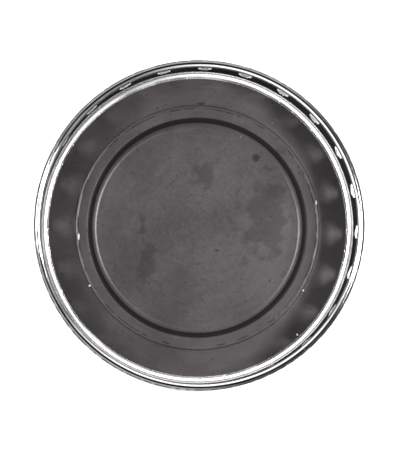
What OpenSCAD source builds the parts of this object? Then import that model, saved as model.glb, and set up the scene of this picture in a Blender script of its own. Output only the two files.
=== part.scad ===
// Round press-lid tin for shoe polish, open and empty.
// The base stands on its own lid, with its rounded foot seated in the lid's curved brim.
// The rest plane is z = 0, under the lid's panel, and +Z is the axis of the tin.

/* [Tin] */
// Outer diameter over the rolled mouth edge
tin_d = 70; // [64:1:90]
// Depth inside, from the top of the mouth to the floor
inside_depth = 15; // [14:0.5:22]
// Thickness of the tinplate
sheet_t = 0.3; // [0.25:0.05:0.35]
// Diameter of the roll at the mouth
roll_d = 1.55; // [1.4:0.05:1.9]

/* [Foot] */
// Inside radius of the corner between wall and floor
corner_in_r = 1.3; // [0.8:0.1:1.6]
// Height of the bottom panel's upturned edge, above the foot
cup_h = 3.2; // [3:0.1:3.8]
// Thickness of the sealing compound between wall and bottom panel
compound_t = 0.15; // [0.1:0.05:0.25]

/* [Wall slots] */
// Number of slots round the wall
slot_count = 24; // [12:1:30]
// Turn of the first slot from +X
slot_turn = -2.2; // [-7:0.1:7]
// Width of a slot's head
slot_head_w = 2.8; // [2:0.1:3.4]
// Width of a slot's stem
slot_stem_w = 1.4; // [1:0.1:1.8]
// Height of the stem's lower end above the floor
slot_low = 4.6; // [4.2:0.1:6]
// Gap between the slots' tops and the roll at the mouth
slot_top_gap = 0.25; // [0.2:0.05:1]

/* [Bottom panel] */
// Diameter of the sunk centre disc
disc_d = 43; // [36:0.2:45]
// Depth of the sunk centre disc
disc_drop = 1.2; // [0.5:0.05:1.5]
// Width of the slope round the disc
slope_w = 2.4; // [2:0.1:2.8]
// Diameter of the fine crease outside the slope
crease_d = 52.1; // [52.1:0.1:54]
// Width of the crease
crease_w = 0.8; // [0.6:0.1:1.2]
// Height of the crease
crease_h = 0.15; // [0.1:0.05:0.25]

/* [Lid] */
// Depth of the lid, from the top of its brim to the rest plane
lid_h = 4.6; // [4.4:0.1:5.2]
// Radial gap between the lid's plug and the mouth
plug_gap = 0.2; // [0.15:0.05:0.3]
// Diameter of the lid's raised centre panel
boss_d = 41; // [30:1:42]
// Height of the lid's raised centre panel
boss_h = 0.6; // [0.4:0.05:0.8]
// Thickness of the sealing film under the lid's brim
seal_t = 0.12; // [0.08:0.01:0.14]

/* [Hidden] */
$fn = 180;
arc_steps = 10;
roll_steps = 20;
cut_margin = 1;
seat_gap = 0.1;
film_gap = 0.01;

// Rolled mouth and neck, measured outwards from the axis
mouth_r = tin_d / 2;
roll_r = roll_d / 2;
roll_centre_r = mouth_r - roll_r;
roll_end_angle = -115;
wall_r = mouth_r - roll_d;

// Foot: wall, compound and bottom panel turn the corner about one centre line
corner_centre_r = wall_r - corner_in_r;
compound_in_r = corner_in_r + sheet_t;
cup_in_r = compound_in_r + compound_t;
cup_out_r = cup_in_r + sheet_t;
flange_r = corner_centre_r - 0.1;

// Lid: the brim is an arc that sits over the rolled mouth
plug_r = wall_r - plug_gap;
recess_r = plug_r - sheet_t;
brim_under_r = roll_r + plug_gap;
brim_top_r = brim_under_r + sheet_t;
brim_centre_z = lid_h - brim_top_r;
brim_end_angle = acos((mouth_r - roll_centre_r) / brim_top_r);
panel_round = 0.8;
snap_h = 1.2;
snap_out = 0.1;
boss_slope_w = 1.2;
seal_in_angle = 150;
seal_out_angle = brim_end_angle + 4;

// Base, measured up from the rest plane: its rounded foot seats on the lid's brim
seat_reach = cup_out_r + brim_top_r + seat_gap;
corner_centre_z = brim_centre_z + sqrt(pow(seat_reach, 2) - pow(roll_centre_r - corner_centre_r, 2));
foot_z = corner_centre_z - cup_out_r;
floor_z = foot_z + sheet_t;
mouth_z = floor_z + inside_depth;
roll_z = mouth_z - roll_r;
cup_z = foot_z + cup_h;

// Slots
slot_high = inside_depth - roll_d - slot_top_gap;
stem_part = 0.23;
shoulder_part = 0.42;
slot_neck = slot_low + stem_part * (slot_high - slot_low);
slot_shoulder = slot_low + shoulder_part * (slot_high - slot_low);

// Points of an arc about (r, z), from one angle to another
function arc(r, z, radius, from, to, steps = arc_steps) =
    [for (i = [0:steps]) let (a = from + (to - from) * i / steps) [r + radius * cos(a), z + radius * sin(a)]];

// Points of a smooth step between two levels, from radius r0 to r1
function smooth_step(r0, r1, z0, z1, steps = arc_steps) =
    [for (i = [0:steps]) let (t = i / steps) [r0 + (r1 - r0) * t, z0 + (z1 - z0) * (1 - cos(180 * t)) / 2]];

// Points of a small round ridge about radius r, on the level z
function ridge(r, z, width, height, steps = arc_steps) =
    [for (i = [0:steps]) let (t = i / steps) [r + width * (t - 0.5), z + height * (1 - cos(360 * t)) / 2]];

function reversed(points) = [for (i = [len(points) - 1:-1:0]) points[i]];

// A turned sheet-metal skin between two profiles that run the same way
module turned_skin(face, back) {
    rotate_extrude()
        polygon(concat(face, reversed(back)));
}

// One slot's outline: a wide head that narrows to a round-ended stem
function slot_outline() = concat(
    [[slot_head_w / 2, slot_shoulder], [slot_head_w / 2, slot_high]],
    [[-slot_head_w / 2, slot_high], [-slot_head_w / 2, slot_shoulder]],
    [[-slot_stem_w / 2, slot_neck]],
    arc(0, slot_low + slot_stem_w / 2, slot_stem_w / 2, 180, 360),
    [[slot_stem_w / 2, slot_neck]]
);

module wall_slots() {
    for (i = [0:slot_count - 1])
        rotate([0, 0, slot_turn + i * 360 / slot_count])
            translate([wall_r - cut_margin, 0, floor_z])
                rotate([90, 0, 90])
                    linear_extrude(height = sheet_t + 2 * cut_margin)
                        polygon(slot_outline());
}

// A line that runs in along the foot, round its corner and up the wall, at a radius about the corner
function foot_line(radius, top_z) = concat(
    [[flange_r, corner_centre_z - radius]],
    arc(corner_centre_r, corner_centre_z, radius, -90, 0),
    [[corner_centre_r + radius, top_z]]
);

// One side of the wall's profile, from flange to roll, at a depth behind the face inside the tin
function wall_profile(depth) = concat(
    foot_line(corner_in_r + depth, cup_z),
    arc(roll_centre_r, roll_z, roll_r - depth, 180, roll_end_angle, roll_steps)
);

// Wall of the base: rolled mouth, straight neck, rounded corner and short flange over the floor
module body_wall() {
    color("silver")
        difference() {
            turned_skin(wall_profile(0), wall_profile(sheet_t));
            wall_slots();
        }
}

// One side of the bottom panel's profile, from the axis to its upturned edge, at a depth below its top
function panel_profile(depth) = concat(
    [[0, floor_z - disc_drop - depth]],
    smooth_step(disc_d / 2, disc_d / 2 + slope_w, floor_z - disc_drop - depth, floor_z - depth),
    ridge(crease_d / 2, floor_z - depth, crease_w, crease_h),
    arc(corner_centre_r, corner_centre_z, cup_in_r + depth, -90, 0),
    [[corner_centre_r + cup_in_r + depth, cup_z]]
);

// Floor of the base: sunk centre disc, fine crease and an edge turned up round the wall's foot
module bottom_panel() {
    color("dimgray")
        turned_skin(panel_profile(0), panel_profile(sheet_t));
}

// Sealing compound between the wall's foot and the bottom panel
module seam_compound() {
    color("darkslategray")
        turned_skin(
            foot_line(compound_in_r + film_gap, cup_z - compound_t),
            foot_line(cup_in_r - film_gap, cup_z - compound_t)
        );
}

// One side of the lid's profile, from its centre to the brim's edge, at a depth below the upper face
function lid_profile(depth) = concat(
    [[0, sheet_t + boss_h - depth]],
    smooth_step(boss_d / 2, boss_d / 2 + boss_slope_w, sheet_t + boss_h - depth, sheet_t - depth),
    arc(recess_r - panel_round, sheet_t + panel_round, panel_round + depth, -90, 0),
    depth > 0 ? snap_bead() : [],
    arc(roll_centre_r, brim_centre_z, brim_top_r - depth, 180, brim_end_angle, roll_steps)
);

// Points of the snap bead that runs round the plug
function snap_bead() =
    [for (p = ridge((panel_round + brim_centre_z) / 2, 0, snap_h, snap_out)) [plug_r + p[1], p[0]]];

// Lid: raised centre panel, flat rest ring, plug with a snap bead, and a curved brim
module lid_shell() {
    color("silver")
        turned_skin(lid_profile(0), lid_profile(sheet_t));
}

// Sealing film that lines the curved brim and seats on the rolled mouth
module lid_seal() {
    outer_r = brim_under_r - film_gap;
    color("gainsboro")
        turned_skin(
            arc(roll_centre_r, brim_centre_z, outer_r, seal_in_angle, seal_out_angle),
            arc(roll_centre_r, brim_centre_z, outer_r - seal_t, seal_in_angle, seal_out_angle)
        );
}

body_wall();
bottom_panel();
seam_compound();
lid_shell();
lid_seal();
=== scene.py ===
import math

import bmesh
import bpy
from mathutils import Matrix, Vector


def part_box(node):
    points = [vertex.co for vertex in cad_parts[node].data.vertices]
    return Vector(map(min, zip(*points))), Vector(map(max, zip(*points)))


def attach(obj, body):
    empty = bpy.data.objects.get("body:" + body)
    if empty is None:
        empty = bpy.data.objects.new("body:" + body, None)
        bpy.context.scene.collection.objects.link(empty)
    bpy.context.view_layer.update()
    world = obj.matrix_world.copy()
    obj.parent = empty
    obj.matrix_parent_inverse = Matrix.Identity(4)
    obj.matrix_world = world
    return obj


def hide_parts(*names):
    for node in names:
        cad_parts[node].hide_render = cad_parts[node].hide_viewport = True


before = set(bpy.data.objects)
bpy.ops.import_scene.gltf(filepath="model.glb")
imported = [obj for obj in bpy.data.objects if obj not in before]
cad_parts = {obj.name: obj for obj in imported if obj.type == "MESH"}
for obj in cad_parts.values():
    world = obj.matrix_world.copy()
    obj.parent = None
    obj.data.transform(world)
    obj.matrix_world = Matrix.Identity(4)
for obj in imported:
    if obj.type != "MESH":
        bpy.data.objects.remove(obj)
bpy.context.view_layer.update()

# ---------------------------------------------------------------- sizes, in metres
# Sheet-metal sizes that the frame doesn't state
SHEET = 0.0003
ROLL_D = 0.00155
CORNER_IN_R = 0.0013
FLANGE_GAP = 0.0001
COMPOUND_T = 0.00015
FILM_T = 0.00012
FILM_GAP = 0.00001
PLUG_GAP = 0.0002
DISC_DROP = 0.0012

# Sizes read from the frame
wall_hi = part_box("body_wall")[1]
panel_lo, panel_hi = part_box("bottom_panel")
compound_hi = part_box("seam_compound")[1]
lid_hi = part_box("lid_shell")[1]

MOUTH_R = wall_hi[0]
MOUTH_Z = wall_hi[2]
FLOOR_Z = panel_lo[2] + SHEET + DISC_DROP
FOOT_Z = FLOOR_Z - SHEET
CUP_Z = panel_hi[2]
LID_Z = lid_hi[2]

ROLL_END = -115
ROLL_R = ROLL_D / 2
ROLL_CENTRE = (MOUTH_R - ROLL_R, MOUTH_Z - ROLL_R)
WALL_R = MOUTH_R - ROLL_D
CUP_IN_R = CORNER_IN_R + SHEET + COMPOUND_T
CORNER = (WALL_R - CORNER_IN_R, FOOT_Z + CUP_IN_R + SHEET)
FLANGE_R = CORNER[0] - FLANGE_GAP

# Slots in the wall: head and stem are half widths
SLOT_COUNT = 24
SLOT_TURN = math.radians(-2.2)
SLOT_HEAD = 0.0014
SLOT_STEM = 0.0007
SLOT_TOP_GAP = 0.00025
STEM_PART = 0.23
SHOULDER_PART = 0.42
SLOT_LOW = FLOOR_Z + 0.0046
SLOT_HIGH = MOUTH_Z - ROLL_D - SLOT_TOP_GAP
SLOT_NECK = SLOT_LOW + STEM_PART * (SLOT_HIGH - SLOT_LOW)
SLOT_SHOULDER = SLOT_LOW + SHOULDER_PART * (SLOT_HIGH - SLOT_LOW)

# Bottom panel
DISC_R = 0.0215
SLOPE_W = 0.0024
CREASE_R = 0.02605
CREASE_W = 0.0008
CREASE_H = 0.00015

# Lid
BRIM_TOP_R = ROLL_R + PLUG_GAP + SHEET
BRIM_CENTRE = (ROLL_CENTRE[0], LID_Z - BRIM_TOP_R)
BRIM_END = math.degrees(math.acos(ROLL_R / BRIM_TOP_R))
RECESS_R = WALL_R - PLUG_GAP - SHEET
PANEL_ROUND = 0.0008
BOSS_R = 0.0205
BOSS_H = 0.0006
BOSS_SLOPE = 0.0012
SNAP_H = 0.0012
SNAP_OUT = 0.0001
FILM_IN_ANGLE = 150
FILM_OUT_ANGLE = BRIM_END + 4

# Marks on the bottom panel, in millimetres from the axis: x, y, then half sizes
SMUDGES = [(-10.8, -9.0, 2.2, 4.6), (1.7, 11.5, 3.4, 3.0), (-11.7, 1.3, 0.9, 2.2), (14.6, 2.8, 5.2, 10.0)]
SPECKS = [(0.8, 26.7, 1.0, 0.4), (12.7, 15.1, 0.9, 0.9), (4.3, -4.9, 0.6, 0.25)]
CRUMBS = [(-23.1, -12.5, 0.28, 0.28), (22.8, -13.5, 0.24, 0.24), (21.5, -23.0, 0.24, 0.24),
          (25.6, 5.4, 0.2, 0.6), (-25.5, -1.9, 0.24, 0.8)]
SCRATCHED = [(7.1, 19.6, 4.0, 1.0), (14.8, 22.8, 3.0, 1.0)]

# Mesh density: columns round a turned piece, round one slot and one land, and steps along a curve
COLUMNS = 480
SLOT_COLUMNS = 8
LAND_COLUMNS = 20
ROW_PITCH = 0.0004
FINE = 16
EDGE_STEPS = 4
MERGE = 1e-7

# Studio: directions in degrees, azimuth from +X towards +Y and elevation up from the floor
CAMERA_AZIMUTH = 229
CAMERA_ELEVATION = 87.2
CAMERA_DISTANCE = 0.775
CAMERA_LENS = 293.7
CAMERA_SENSOR = 36
VIEW_CENTRE = (0.000116, 0.00004)
LIGHT_DISTANCE = 0.28
LIGHT_W = 0.08
LIGHT_H = 0.04
LOBE_AZIMUTHS = (95, 230)
STUDIO_HALF = 1.5


# ---------------------------------------------------------------- profiles
def arc(centre, radius, start, end, steps=FINE):
    """Points of an arc in the (r, z) plane, angles in degrees."""
    turns = [math.radians(start + (end - start) * i / steps) for i in range(steps + 1)]
    return [(centre[0] + radius * math.cos(a), centre[1] + radius * math.sin(a)) for a in turns]


def smooth_step(r0, r1, z0, z1, steps=FINE):
    """A smooth change of level from radius r0 to r1."""
    parts = [i / steps for i in range(steps + 1)]
    return [(r0 + (r1 - r0) * t, z0 + (z1 - z0) * (1 - math.cos(math.pi * t)) / 2) for t in parts]


def ridge(r, z, width, height, steps=FINE):
    """A small round ridge about radius r."""
    parts = [i / steps for i in range(steps + 1)]
    return [(r + width * (t - 0.5), z + height * (1 - math.cos(2 * math.pi * t)) / 2) for t in parts]


def line(a, b, steps):
    """Evenly spaced points after a, up to and with b."""
    return [(a[0] + (b[0] - a[0]) * i / steps, a[1] + (b[1] - a[1]) * i / steps) for i in range(1, steps + 1)]


def edge_round(a, b):
    """A half-round sheet edge from a to b, which bulges to the right of that way."""
    middle = ((a[0] + b[0]) / 2, (a[1] + b[1]) / 2)
    half = math.dist(a, b) / 2
    start = math.degrees(math.atan2(a[1] - middle[1], a[0] - middle[0]))
    return arc(middle, half, start, start + 180, EDGE_STEPS)[1:-1]


# ---------------------------------------------------------------- meshes
def new_piece(name, verts, faces, material, body, node):
    """A smooth-shaded piece that rides on a body and stands for a CAD node."""
    mesh = bpy.data.meshes.new(name)
    mesh.from_pydata(verts, [], faces)
    bm = bmesh.new()
    bm.from_mesh(mesh)
    bmesh.ops.remove_doubles(bm, verts=bm.verts, dist=MERGE)
    bmesh.ops.recalc_face_normals(bm, faces=bm.faces)
    bm.to_mesh(mesh)
    bm.free()
    for face in mesh.polygons:
        face.use_smooth = True
    mesh.materials.append(material)
    piece = bpy.data.objects.new(name, mesh)
    bpy.context.scene.collection.objects.link(piece)
    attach(piece, body)
    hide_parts(node)
    return piece


def lathe(profile):
    """Vertices and faces of a closed outline of (r, z) points turned about +Z."""
    count = len(profile)
    verts = []
    for j in range(COLUMNS):
        turn = 2 * math.pi * j / COLUMNS
        verts += [(r * math.cos(turn), r * math.sin(turn), z) for r, z in profile]
    faces = []
    for j in range(COLUMNS):
        k = (j + 1) % COLUMNS
        for i in range(count):
            n = (i + 1) % count
            on_axis = max(profile[i][0], profile[n][0]) < MERGE
            if not on_axis:
                faces.append([j * count + i, j * count + n, k * count + n, k * count + i])
    return verts, faces


# ---------------------------------------------------------------- the wall and its slots
def slot_half_width(z):
    """Half the width of a slot at height z, as an angle about the axis."""
    if z >= SLOT_SHOULDER:
        half = SLOT_HEAD
    elif z >= SLOT_NECK:
        half = SLOT_STEM + (SLOT_HEAD - SLOT_STEM) * (z - SLOT_NECK) / (SLOT_SHOULDER - SLOT_NECK)
    else:
        rise = max(0.0, min(SLOT_STEM, z - SLOT_LOW))
        half = math.sqrt(max(0.0, SLOT_STEM ** 2 - (SLOT_STEM - rise) ** 2))
    return max(half, 0.3 * SLOT_STEM) / WALL_R


def neck_rows():
    """Heights of the neck's rows, with a row on each corner of a slot."""
    marks = [CUP_Z, SLOT_LOW]
    marks += [SLOT_LOW + SLOT_STEM * (1 - math.cos(math.radians(a))) for a in range(15, 91, 15)]
    marks += [SLOT_NECK, SLOT_SHOULDER, SLOT_HIGH, ROLL_CENTRE[1]]
    rows = []
    for low, high in zip(marks, marks[1:]):
        steps = max(1, round((high - low) / ROW_PITCH))
        rows += [low + (high - low) * i / steps for i in range(steps)]
    return rows


def wall_turns(z):
    """Angles of one row's columns: each slot's own columns, and those between two slots."""
    half = slot_half_width(z)
    pitch = 2 * math.pi / SLOT_COUNT
    turns = []
    for s in range(SLOT_COUNT):
        centre = SLOT_TURN + s * pitch
        turns += [centre - half + 2 * half * i / SLOT_COLUMNS for i in range(SLOT_COLUMNS)]
        rest = pitch - 2 * half
        turns += [centre + half + rest * i / LAND_COLUMNS for i in range(LAND_COLUMNS)]
    return turns


def wall_profile(depth):
    """The wall from flange to roll, at a depth behind the face inside the tin, as (r, z) points."""
    points = [(FLANGE_R, CORNER[1] - CORNER_IN_R - depth)]
    points += arc(CORNER, CORNER_IN_R + depth, -90, 0, 24)
    points += line(points[-1], (WALL_R + depth, CUP_Z), 6)
    points += [(WALL_R + depth, z) for z in neck_rows()[1:]]
    points += arc(ROLL_CENTRE, ROLL_R - depth, 180, ROLL_END, 40)
    return points


def wall_mesh():
    """The wall's skin with its slots cut through, as vertices and faces."""
    inner = wall_profile(0.0)
    outer = wall_profile(SHEET)
    per_sector = SLOT_COLUMNS + LAND_COLUMNS
    columns = per_sector * SLOT_COUNT
    rows = len(inner)
    verts = []
    for r, z in inner + outer:
        turns = wall_turns(min(max(z, SLOT_LOW), SLOT_HIGH))
        verts += [(r * math.cos(t), r * math.sin(t), z) for t in turns]

    def index(side, row, column):
        return (side * rows + row) * columns + column % columns

    def is_open(row, column):
        low, high = inner[row][1], inner[row + 1][1]
        in_slot = column % per_sector < SLOT_COLUMNS
        on_neck = CUP_Z < low and abs(inner[row][0] - WALL_R) < MERGE
        return in_slot and on_neck and low > SLOT_LOW - MERGE and high < SLOT_HIGH + MERGE

    faces = []

    def bridge(a, b):
        faces.append([index(0, *a), index(0, *b), index(1, *b), index(1, *a)])

    for row in range(rows - 1):
        for column in range(columns):
            if is_open(row, column):
                continue
            ring = [(row, column), (row, column + 1), (row + 1, column + 1), (row + 1, column)]
            faces.append([index(0, a, b) for a, b in ring])
            faces.append([index(1, a, b) for a, b in reversed(ring)])
            if is_open(row, (column - 1) % columns):
                bridge(ring[3], ring[0])
            if is_open(row, (column + 1) % columns):
                bridge(ring[1], ring[2])
            if row > 0 and is_open(row - 1, column):
                bridge(ring[0], ring[1])
            if row < rows - 2 and is_open(row + 1, column):
                bridge(ring[2], ring[3])
    for column in range(columns):
        for row in (0, rows - 1):
            bridge((row, column), (row, column + 1))
    return verts, faces


# ---------------------------------------------------------------- material helpers
def new_material(name, **sockets):
    """A Principled material; sockets are values of the shader's own inputs, with _ for a space."""
    material = bpy.data.materials.new(name)
    material.use_nodes = True
    shader = material.node_tree.nodes["Principled BSDF"]
    for socket, value in sockets.items():
        shader.inputs[socket.replace("_", " ")].default_value = value
    return material, material.node_tree, shader


def add(tree, kind, inputs=(), **settings):
    """A node of a kind; inputs pairs each input's name or number with a value or an output to link."""
    node = tree.nodes.new(kind)
    for setting, value in settings.items():
        setattr(node, setting, value)
    for key, value in dict(inputs).items():
        if isinstance(value, bpy.types.NodeSocket):
            tree.links.new(value, node.inputs[key])
        else:
            node.inputs[key].default_value = value
    return node


def math_node(tree, operation, a, b=0.0):
    return add(tree, "ShaderNodeMath", {0: a, 1: b}, operation=operation).outputs[0]


def total(tree, a, b):
    return math_node(tree, "ADD", a, b)


def product(tree, a, b):
    return math_node(tree, "MULTIPLY", a, b)


def distance_from(tree, value, middle):
    return math_node(tree, "ABSOLUTE", math_node(tree, "SUBTRACT", value, middle))


def dimmed(tree, value, dark):
    """value with the share dark taken away."""
    return product(tree, value, math_node(tree, "SUBTRACT", 1.0, dark))


def remap(tree, value, low, high, to_low=0.0, to_high=1.0, smooth=True):
    """value from low..high to to_low..to_high, held at the ends."""
    inputs = {"Value": value, "From Min": low, "From Max": high, "To Min": to_low, "To Max": to_high}
    kind = "SMOOTHSTEP" if smooth else "LINEAR"
    return add(tree, "ShaderNodeMapRange", inputs, interpolation_type=kind, clamp=True).outputs[0]


def noise(tree, vector, scale, detail=3.0, roughness=0.5):
    inputs = {"Vector": vector, "Scale": scale, "Detail": detail, "Roughness": roughness}
    return add(tree, "ShaderNodeTexNoise", inputs).outputs[0]


def blend(tree, factor, low, high):
    """A colour between low and high, each a colour or an output."""
    node = add(tree, "ShaderNodeMix", {0: factor, 6: low, 7: high}, data_type="RGBA")
    return node.outputs[2]


def grey(value, warmth=0.0):
    """A neutral colour with a little more red and less green."""
    return (value * (1 + warmth), value, value * (1 + 0.2 * warmth), 1.0)


def places(tree):
    """Outputs of the object's own coordinates: the point, x, y, z, radius and turn about +Z."""
    point = add(tree, "ShaderNodeTexCoord").outputs["Object"]
    split = add(tree, "ShaderNodeSeparateXYZ", {0: point})
    x, y, z = split.outputs
    flat = add(tree, "ShaderNodeCombineXYZ", {0: x, 1: y})
    radius = add(tree, "ShaderNodeVectorMath", {0: flat.outputs[0]}, operation="LENGTH").outputs["Value"]
    turn = math_node(tree, "ARCTAN2", y, x)
    return {"point": point, "x": x, "y": y, "z": z, "radius": radius, "turn": turn}


def lathe_grain(tree, at, across, along):
    """Noise drawn out along the turning direction: across per metre, along per radian."""
    r = product(tree, at["radius"], across)
    z = product(tree, at["z"], across)
    t = product(tree, at["turn"], along)
    vector = add(tree, "ShaderNodeCombineXYZ", {0: r, 1: t, 2: z}).outputs[0]
    return noise(tree, vector, 1.0, 4.0, 0.6)


def bump(tree, shader, height, distance, strength=1.0, under=None):
    """A bump on the shader, laid over another bump's normal where there is one."""
    inputs = {"Height": height, "Distance": distance, "Strength": strength}
    if under is not None:
        inputs["Normal"] = under
    normal = add(tree, "ShaderNodeBump", inputs).outputs[0]
    tree.links.new(normal, shader.inputs["Normal"])
    return normal


# ---------------------------------------------------------------- materials
def rolled_tin(tree, at, shade, polish):
    """Rolled tinplate with faint clouds and dull specks: its grain, clouds, tone and roughness."""
    grain = lathe_grain(tree, at, 9000.0, 5.0)
    cloud = noise(tree, at["point"], 160.0, 4.0)
    speck = remap(tree, noise(tree, at["point"], 1500.0, 2.0), 0.68, 0.74)
    rough = remap(tree, total(tree, grain, cloud), 0.7, 1.3, polish, polish + 0.1)
    rough = total(tree, rough, product(tree, speck, 0.25))
    tone = blend(tree, remap(tree, cloud, 0.3, 0.7), grey(shade * 0.88, 0.02), grey(shade))
    tone = blend(tree, speck, tone, grey(shade * 0.45))
    return grain, cloud, tone, rough


def finish_tin(tree, shader, at, grain, tone, rough):
    """Put tone and roughness on the shader, with fine turning marks and a slight waviness."""
    tree.links.new(rough, shader.inputs["Roughness"])
    tree.links.new(tone, shader.inputs["Base Color"])
    under = bump(tree, shader, grain, 0.000004)
    bump(tree, shader, noise(tree, at["point"], 300.0, 2.0), 0.00002, 0.6, under)


def satin_corner(tree, at, grain, tone, rough):
    """Pale satin metal where the foot's corner was drawn."""
    drawn = remap(tree, at["z"], CORNER[1] - 0.0004, CORNER[1], 1.0, 0.0)
    tone = blend(tree, drawn, tone, blend(tree, grain, grey(0.86), grey(0.94)))
    return tone, total(tree, rough, product(tree, drawn, 0.14))


def dull_outside(tree, at, grain, tone, rough):
    """Duller metal on the wall's outer face, below the roll."""
    roll_low = MOUTH_Z - ROLL_D
    outside = remap(tree, at["radius"], WALL_R + 0.00012, WALL_R + 0.0002)
    below_roll = remap(tree, at["z"], roll_low - 0.0001, roll_low + 0.0003, 1.0, 0.0)
    dull = product(tree, outside, below_roll)
    tone = blend(tree, dull, tone, blend(tree, grain, grey(0.2, 0.03), grey(0.36, 0.03)))
    return tone, total(tree, rough, product(tree, dull, 0.2))


def neck_mask(tree, at):
    """1 on the neck's face inside the tin, between the foot's corner and the roll; 0 elsewhere."""
    above = remap(tree, at["z"], CORNER[1] - 0.0003, CORNER[1] + 0.0002)
    below = remap(tree, at["z"], ROLL_CENTRE[1] - 0.0001, ROLL_CENTRE[1] + 0.0003, 1.0, 0.0)
    inner = math_node(tree, "LESS_THAN", at["radius"], WALL_R + 0.00008)
    return product(tree, product(tree, above, below), inner)


def painted_roll_shade(tree, at, grain, tone, rough):
    """Painted shade: a dark outer half of the roll, with dark dashes in a fine groove by its crest and at its
    outer edge.
    """
    edge = remap(tree, at["radius"], ROLL_CENTRE[0] - 0.0004, ROLL_CENTRE[0] + 0.0001)
    tone = blend(tree, edge, tone, blend(tree, grain, grey(0.05, 0.03), grey(0.34, 0.03)))
    dash = noise(tree, at["point"], 700.0, 2.0)
    off_crest = distance_from(tree, at["radius"], ROLL_CENTRE[0] - 0.00006)
    groove = product(tree, remap(tree, off_crest, 0.00008, 0.0002, 1.0, 0.0), edge)
    tone = blend(tree, remap(tree, product(tree, groove, dash), 0.15, 0.45), tone, grey(0.03))
    rim_shade = product(tree, remap(tree, at["radius"], MOUTH_R - 0.0005, MOUTH_R - 0.0002), dash)
    tone = blend(tree, remap(tree, rim_shade, 0.34, 0.5), tone, grey(0.04))
    return tone, total(tree, rough, product(tree, edge, 0.03))


def wall_tinplate():
    """Bright tinplate with a dark lacquered neck, a satin foot, a dull outside and painted shade on the
    roll's outer half.
    """
    material, tree, shader = new_material("bright_wall")
    at = places(tree)
    grain, cloud, tone, rough = rolled_tin(tree, at, 0.72, 0.06)
    tone, rough = satin_corner(tree, at, grain, tone, rough)
    tone, rough = dull_outside(tree, at, grain, tone, rough)
    coated = neck_mask(tree, at)
    bare = math_node(tree, "SUBTRACT", 1.0, coated)
    tree.links.new(bare, shader.inputs["Metallic"])
    tree.links.new(remap(tree, bare, 0.0, 1.0, 0.0, 0.5), shader.inputs["Specular IOR Level"])
    tone = blend(tree, coated, tone, blend(tree, cloud, grey(0.006), grey(0.022, 0.05)))
    rough = total(tree, rough, product(tree, coated, 0.3))
    # painted shade on the roll's outer half, in its groove and at its outer edge
    tone, rough = painted_roll_shade(tree, at, grain, tone, rough)
    finish_tin(tree, shader, at, grain, tone, rough)
    return material


def lid_tinplate():
    """Plain tinplate, duller than the wall's."""
    material, tree, shader = new_material("bright_lid", Metallic=1.0)
    at = places(tree)
    grain, _, tone, rough = rolled_tin(tree, at, 0.42, 0.26)
    finish_tin(tree, shader, at, grain, tone, rough)
    return material


def blot(tree, at, x, y, half_x, half_y, ragged=0.4, scale=400.0):
    """1 inside a ragged patch about (x, y), in millimetres; 0 outside."""
    across = math_node(tree, "DIVIDE", math_node(tree, "SUBTRACT", at["x"], x / 1000), half_x / 1000)
    along = math_node(tree, "DIVIDE", math_node(tree, "SUBTRACT", at["y"], y / 1000), half_y / 1000)
    squares = total(tree, math_node(tree, "POWER", across, 2), math_node(tree, "POWER", along, 2))
    reach = math_node(tree, "SQRT", squares)
    centred = math_node(tree, "SUBTRACT", noise(tree, at["point"], scale), 0.5)
    rim = product(tree, centred, ragged * 4)
    return remap(tree, total(tree, reach, rim), 0.55, 1.15, 1.0, 0.0)


def painted_step_shade(tree, at):
    """Nearly 1 on the painted shade in the step's slope round the disc; 0 elsewhere."""
    off_slope = distance_from(tree, at["radius"], DISC_R + 0.68 * SLOPE_W)
    return product(tree, remap(tree, off_slope, 0.0004, 0.0007, 1.0, 0.0), 0.9)


def painted_crease_shade(tree, at):
    """Broken dashes of painted shade along the inner foot of the crease."""
    off_crease = distance_from(tree, at["radius"], CREASE_R - CREASE_W / 2)
    at_crease_foot = remap(tree, off_crease, 0.00008, 0.00022, 0.8, 0.0)
    broken = remap(tree, noise(tree, at["point"], 420.0, 4.0), 0.47, 0.56)
    return product(tree, at_crease_foot, broken)


def dirt_and_painted_shade(tree, at, sheen, tone):
    """Sheen and tone with dust, smudges, specks, crumbs and scratches, and painted shade in the step and
    along the crease.
    """
    step_shade = painted_step_shade(tree, at)
    # painted shade: the step's slope is darkened in tone and in sheen
    tone = blend(tree, step_shade, tone, grey(0.004, 0.1))
    dust = remap(tree, noise(tree, at["point"], 1500.0, 3.0), 0.67, 0.71, 0.0, 0.75)
    # painted shade in the step and at the crease's foot, and real dust, dim the sheen
    for dark in (step_shade, dust, painted_crease_shade(tree, at)):
        sheen = dimmed(tree, sheen, dark)
    for smudge in SMUDGES:
        sheen = dimmed(tree, sheen, product(tree, blot(tree, at, *smudge, 0.9, 330.0), 0.42))
    for speck in SPECKS:
        sheen = dimmed(tree, sheen, product(tree, blot(tree, at, *speck, 0.25, 1500.0), 0.9))
    for x, y, half_x, half_y in CRUMBS:
        outline = blot(tree, at, x, y, half_x + 0.2, half_y + 0.2, 0.25, 1500.0)
        sheen = dimmed(tree, sheen, product(tree, outline, 0.9))
        tone = blend(tree, blot(tree, at, x, y, half_x, half_y, 0.25, 1500.0), tone, grey(0.4))
    scratch = math_node(tree, "GREATER_THAN", noise(tree, at["point"], 2600.0, 1.0), 0.7)
    for patch in SCRATCHED:
        tone = blend(tree, product(tree, blot(tree, at, *patch), scratch), tone, grey(0.10))
    return sheen, tone


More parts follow.
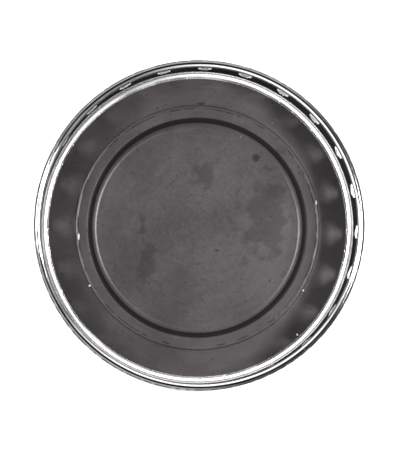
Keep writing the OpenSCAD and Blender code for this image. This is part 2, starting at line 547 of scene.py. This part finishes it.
def lacquer():
    """Near-black glossy lacquer on the bottom panel, and bare metal on its turned-up edge."""
    material, tree, shader = new_material("dark_lacquer", Specular_Tint=grey(0.92, 0.09))
    at = places(tree)
    cloud = noise(tree, at["point"], 90.0, 5.0, 0.6)
    mottle = noise(tree, at["point"], 1400.0, 4.0, 0.6)
    grain = lathe_grain(tree, at, 4000.0, 3.0)
    tone = blend(tree, remap(tree, cloud, 0.3, 0.7), grey(0.011, 0.14), grey(0.017, 0.12))
    sheen = remap(tree, cloud, 0.3, 0.7, 0.36, 0.47)
    # dirt and marks, and painted shade in the step and along the crease
    sheen, tone = dirt_and_painted_shade(tree, at, sheen, tone)
    bare = remap(tree, at["radius"], WALL_R + 0.0001, WALL_R + 0.0002)
    tree.links.new(bare, shader.inputs["Metallic"])
    tone = blend(tree, bare, tone, blend(tree, grain, grey(0.5), grey(0.68)))
    tree.links.new(tone, shader.inputs["Base Color"])
    tree.links.new(sheen, shader.inputs["Specular IOR Level"])
    rough = remap(tree, total(tree, mottle, grain), 0.7, 1.3, 0.36, 0.43)
    rough = math_node(tree, "SUBTRACT", rough, product(tree, bare, 0.12))
    tree.links.new(rough, shader.inputs["Roughness"])
    under = bump(tree, shader, mottle, 0.000006, 0.4)
    bump(tree, shader, grain, 0.000004, 0.4, under)
    return material


def compound(name, shade):
    """Matt poured compound with a fine grain."""
    material, tree, shader = new_material(name, Roughness=0.8)
    at = places(tree)
    grain = noise(tree, at["point"], 2500.0, 4.0)
    tree.links.new(blend(tree, grain, grey(shade * 0.8), grey(shade * 1.15)), shader.inputs["Base Color"])
    bump(tree, shader, grain, 0.00003, 0.6)
    return material


def studio_floor():
    """A plain pale floor."""
    material, tree, shader = new_material("studio_floor", Roughness=0.9)
    at = places(tree)
    tone = blend(tree, noise(tree, at["point"], 40.0), grey(0.9), grey(0.93))
    tree.links.new(tone, shader.inputs["Base Color"])
    return material


# ---------------------------------------------------------------- the pieces
def make_wall(material):
    verts, faces = wall_mesh()
    piece = new_piece("wall_skin", verts, faces, material, "base", "body_wall")
    edges = piece.modifiers.new("cut_edges", "BEVEL")
    edges.limit_method = "ANGLE"
    edges.angle_limit = math.radians(50)
    edges.width = 0.00004
    edges.segments = 2
    return piece


def panel_profile(depth):
    points = [(0.0, FLOOR_Z - DISC_DROP - depth)]
    points += line(points[0], (DISC_R, FLOOR_Z - DISC_DROP - depth), 12)
    points += smooth_step(DISC_R, DISC_R + SLOPE_W, FLOOR_Z - DISC_DROP - depth, FLOOR_Z - depth, 24)[1:]
    points += ridge(CREASE_R, FLOOR_Z - depth, CREASE_W, CREASE_H)
    points += line(points[-1], (CORNER[0], FLOOR_Z - depth), 8)[:-1]
    points += arc(CORNER, CUP_IN_R + depth, -90, 0)
    points += line(points[-1], (CORNER[0] + CUP_IN_R + depth, CUP_Z), 4)
    return points


def make_panel(material):
    face = panel_profile(0.0)
    back = panel_profile(SHEET)[::-1]
    outline = face + edge_round(face[-1], back[0]) + back
    verts, faces = lathe(outline)
    return new_piece("floor_panel", verts, faces, material, "base", "bottom_panel")


def make_seam(material):
    top = compound_hi[2]
    radii = (CUP_IN_R - FILM_GAP, CORNER_IN_R + SHEET + FILM_GAP)
    sides = [[(FLANGE_R, CORNER[1] - r)] + arc(CORNER, r, -90, 0) + [(CORNER[0] + r, top)] for r in radii]
    verts, faces = lathe(sides[0] + sides[1][::-1])
    return new_piece("seam_ring", verts, faces, material, "base", "seam_compound")


def lid_profile(depth):
    points = [(0.0, SHEET + BOSS_H - depth)]
    points += line(points[0], (BOSS_R, SHEET + BOSS_H - depth), 12)
    points += smooth_step(BOSS_R, BOSS_R + BOSS_SLOPE, SHEET + BOSS_H - depth, SHEET - depth)[1:]
    points += arc((RECESS_R - PANEL_ROUND, SHEET + PANEL_ROUND), PANEL_ROUND + depth, -90, 0)
    if depth:
        middle = (PANEL_ROUND + BRIM_CENTRE[1]) / 2
        points += [(RECESS_R + SHEET + out, z) for z, out in ridge(middle, 0.0, SNAP_H, SNAP_OUT)]
    points += arc(BRIM_CENTRE, BRIM_TOP_R - depth, 180, BRIM_END, 32)
    return points


def make_lid(material):
    face = lid_profile(0.0)
    back = lid_profile(SHEET)[::-1]
    verts, faces = lathe(face + back)
    return new_piece("lid_skin", verts, faces, material, "lid", "lid_shell")


def make_film(material):
    outer = BRIM_TOP_R - SHEET - FILM_GAP
    sides = [arc(BRIM_CENTRE, r, FILM_IN_ANGLE, FILM_OUT_ANGLE, 24) for r in (outer, outer - FILM_T)]
    verts, faces = lathe(sides[0] + sides[1][::-1])
    return new_piece("brim_film", verts, faces, material, "lid", "lid_seal")


# ---------------------------------------------------------------- studio
def aim(target, azimuth, elevation, distance):
    """A point that lies that way from target: azimuth from +X towards +Y, both in degrees."""
    a, e = math.radians(azimuth), math.radians(elevation)
    way = Vector((math.cos(e) * math.cos(a), math.cos(e) * math.sin(a), math.sin(e)))
    return Vector(target) + way * distance


def looking(place, target, up=(0, 1, 0)):
    """The matrix of a camera or light at place that looks at target."""
    back = (Vector(place) - Vector(target)).normalized()
    right = Vector(up).cross(back).normalized()
    turn = Matrix((right, back.cross(right), back)).transposed()
    return Matrix.Translation(place) @ turn.to_4x4()


def make_camera():
    """Above the mouth, leaning a few degrees to the left and to the front."""
    camera = bpy.data.objects.new("camera", bpy.data.cameras.new("camera"))
    bpy.context.scene.collection.objects.link(camera)
    mouth = Vector((*VIEW_CENTRE, ROLL_CENTRE[1]))
    place = aim(mouth, CAMERA_AZIMUTH, CAMERA_ELEVATION, CAMERA_DISTANCE)
    camera.matrix_world = looking(place, mouth)
    camera.data.sensor_width = CAMERA_SENSOR
    camera.data.lens = CAMERA_LENS
    camera.data.clip_start = 0.01
    bpy.context.scene.camera = camera


def make_light(name, azimuth, elevation, power):
    """A wide soft light that shines at the middle of the floor of the tin."""
    data = bpy.data.lights.new(name, "AREA")
    data.shape = "RECTANGLE"
    data.size = LIGHT_W
    data.size_y = LIGHT_H
    data.energy = power
    light = bpy.data.objects.new(name, data)
    bpy.context.scene.collection.objects.link(light)
    middle = (0, 0, FLOOR_Z)
    light.matrix_world = looking(aim(middle, azimuth, elevation, LIGHT_DISTANCE), middle, (0, 0, 1))


def room():
    """White walls that are brightest at the back and the front left, under a dark ceiling."""
    world = bpy.data.worlds.new("room")
    world.use_nodes = True
    tree = world.node_tree
    way = add(tree, "ShaderNodeTexCoord").outputs["Generated"]
    x, y, z = add(tree, "ShaderNodeSeparateXYZ", {0: way}).outputs
    flat = add(tree, "ShaderNodeCombineXYZ", {0: x, 1: y}).outputs[0]
    unit = add(tree, "ShaderNodeVectorMath", {0: flat}, operation="NORMALIZE").outputs[0]
    sides = []
    for azimuth in LOBE_AZIMUTHS:
        turn = math.radians(azimuth)
        towards = {0: unit, 1: (math.cos(turn), math.sin(turn), 0)}
        lobe = add(tree, "ShaderNodeVectorMath", towards, operation="DOT_PRODUCT")
        sides.append(remap(tree, lobe.outputs["Value"], 0.4, 0.9))
    side = math_node(tree, "MAXIMUM", *sides)
    wall = remap(tree, z, 0.8, 0.92, 1.0, 0.0)
    glow = remap(tree, side, 0.0, 1.0, 0.32, 2.0, False)
    power = total(tree, product(tree, wall, glow), 0.02)
    background = tree.nodes["Background"]
    background.inputs["Color"].default_value = grey(1.0)
    tree.links.new(power, background.inputs["Strength"])
    return world


def make_studio():
    """Two soft lights high on the left and right, a pale floor and a room with soft white walls."""
    make_light("left_light", 169, 54.5, 1.0)
    make_light("right_light", 0, 57, 1.42)
    bpy.context.scene.world = room()
    bpy.context.scene.view_settings.view_transform = "Standard"
    corners = [(x * STUDIO_HALF, y * STUDIO_HALF, 0) for x, y in ((-1, -1), (1, -1), (1, 1), (-1, 1))]
    mesh = bpy.data.meshes.new("studio_floor")
    mesh.from_pydata(corners, [], [(0, 1, 2, 3)])
    mesh.materials.append(studio_floor())
    floor = bpy.data.objects.new("studio_floor", mesh)
    bpy.context.scene.collection.objects.link(floor)


make_camera()
make_studio()
make_wall(wall_tinplate())
make_panel(lacquer())
make_seam(compound("seam_compound", 0.05))
make_lid(lid_tinplate())
make_film(compound("film_compound", 0.55))
